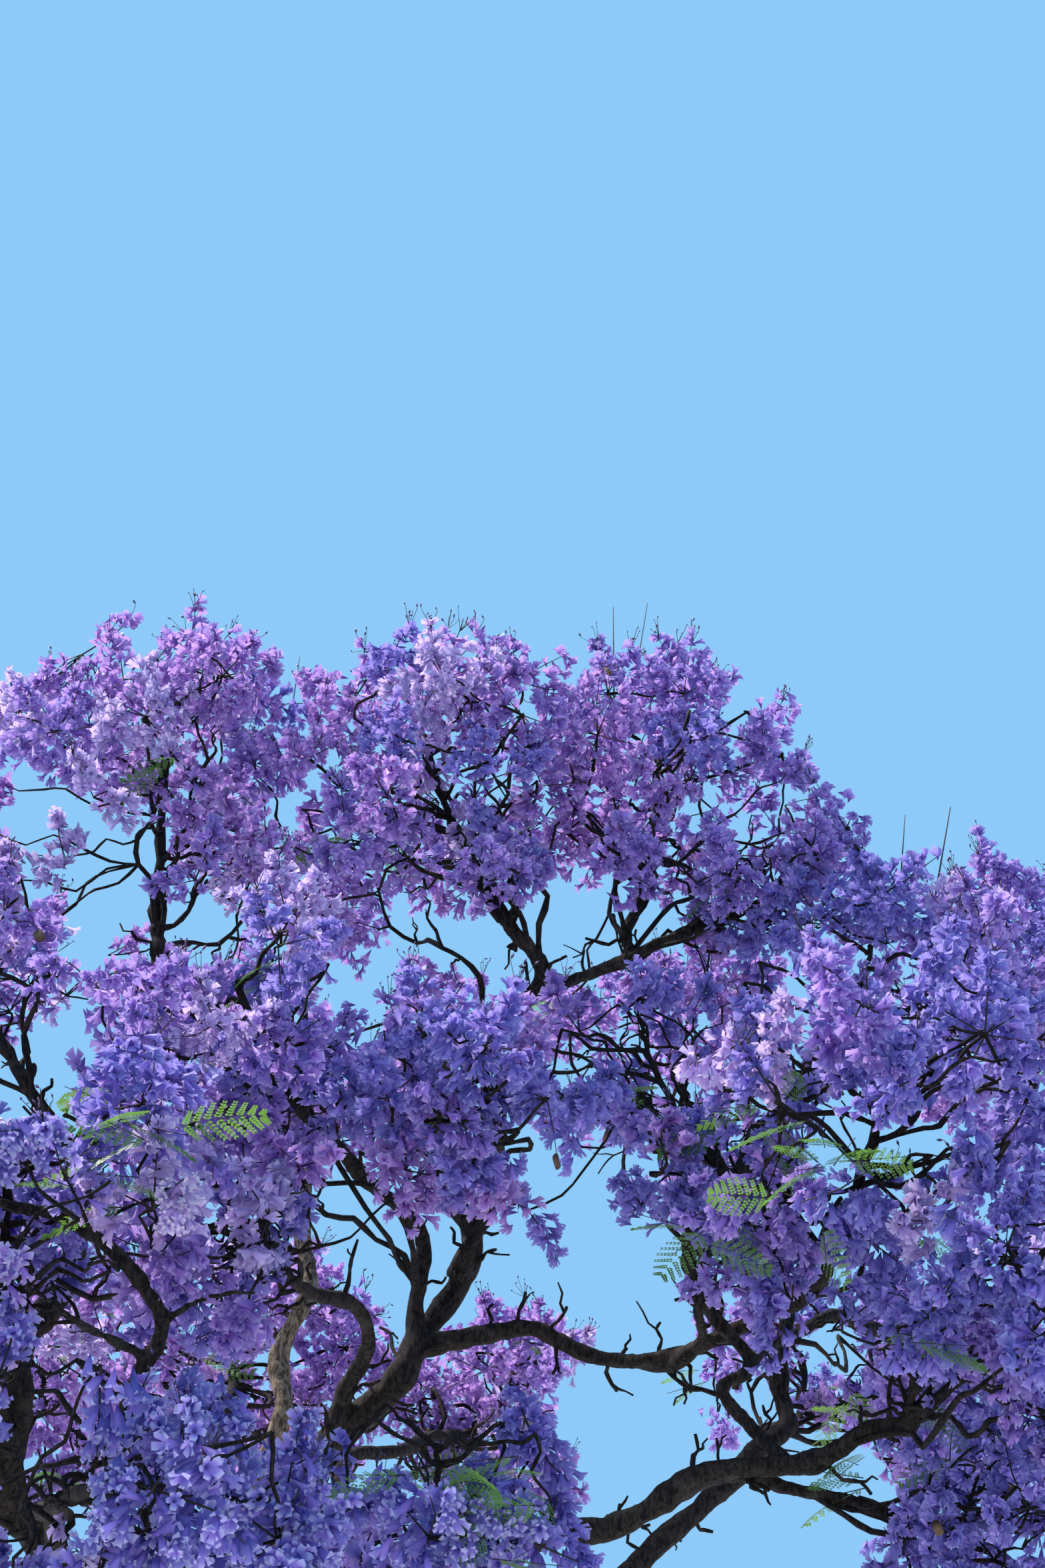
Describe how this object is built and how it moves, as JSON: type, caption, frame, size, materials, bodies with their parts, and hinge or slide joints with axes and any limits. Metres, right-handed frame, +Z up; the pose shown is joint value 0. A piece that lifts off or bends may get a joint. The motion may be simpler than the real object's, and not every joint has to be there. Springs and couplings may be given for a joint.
{
  "type": "jacaranda tree",
  "caption": "Spreading jacaranda tree in full violet bloom: a short leaning trunk, sinuous forked boughs and rounded airy masses of blossom.",
  "frame": {"origin": "middle of the flat cut under the trunk, at ground level", "axes": "+Z up; +X to the right and -Y towards the viewer as the picture shows the tree"},
  "size_m": [6.7412, 6.5369, 7.2015],
  "materials": {
    "bark": "rough dark brown bark with paler lichen-grey patches",
    "blossom": "soft matt violet petals"
  },
  "bodies": {
    "root": {"trunk": "bark", "bough_crown_left": "bark", "bough_crown_front": "bark", "bough_right_low": "bark", "bough_crown_back": "bark", "bough_crown_right_back": "bark", "bough_right_upper": "bark", "bough_left_back": "bark", "bough_right_front": "bark", "bough_crown_right": "bark", "bough_crown_right_low": "bark", "bough_left_shoulder": "bark", "bough_left_front": "bark", "bough_front_high": "bark", "bough_inner_right": "bark", "bough_front_middle": "bark", "bough_right_shoulder": "bark", "bough_left_near": "bark", "bough_front_low": "bark", "bough_skirt_front_left": "bark", "bough_skirt_front": "bark", "bough_skirt_right": "bark", "bough_left_side": "bark", "bough_skirt_left": "bark", "bough_skirt_left_back": "bark", "bough_back": "bark", "bough_back_middle": "bark", "bough_back_right": "bark", "bough_right_side": "bark", "bough_skirt_back": "bark", "blossom_crown_left": "blossom", "blossom_crown_front": "blossom", "blossom_right_low": "blossom", "blossom_crown_back": "blossom", "blossom_crown_right_back": "blossom", "blossom_right_upper": "blossom", "blossom_left_back": "blossom", "blossom_right_front": "blossom", "blossom_crown_right": "blossom", "blossom_crown_right_low": "blossom", "blossom_left_shoulder": "blossom", "blossom_left_front": "blossom", "blossom_front_high": "blossom", "blossom_inner_right": "blossom", "blossom_front_middle": "blossom", "blossom_right_shoulder": "blossom", "blossom_left_near": "blossom", "blossom_front_low": "blossom", "blossom_skirt_front_left": "blossom", "blossom_skirt_front": "blossom", "blossom_skirt_right": "blossom", "blossom_left_side": "blossom", "blossom_skirt_left": "blossom", "blossom_skirt_left_back": "blossom", "blossom_back": "blossom", "blossom_back_middle": "blossom", "blossom_back_right": "blossom", "blossom_right_side": "blossom", "blossom_skirt_back": "blossom"}
  },
  "joints": []
}
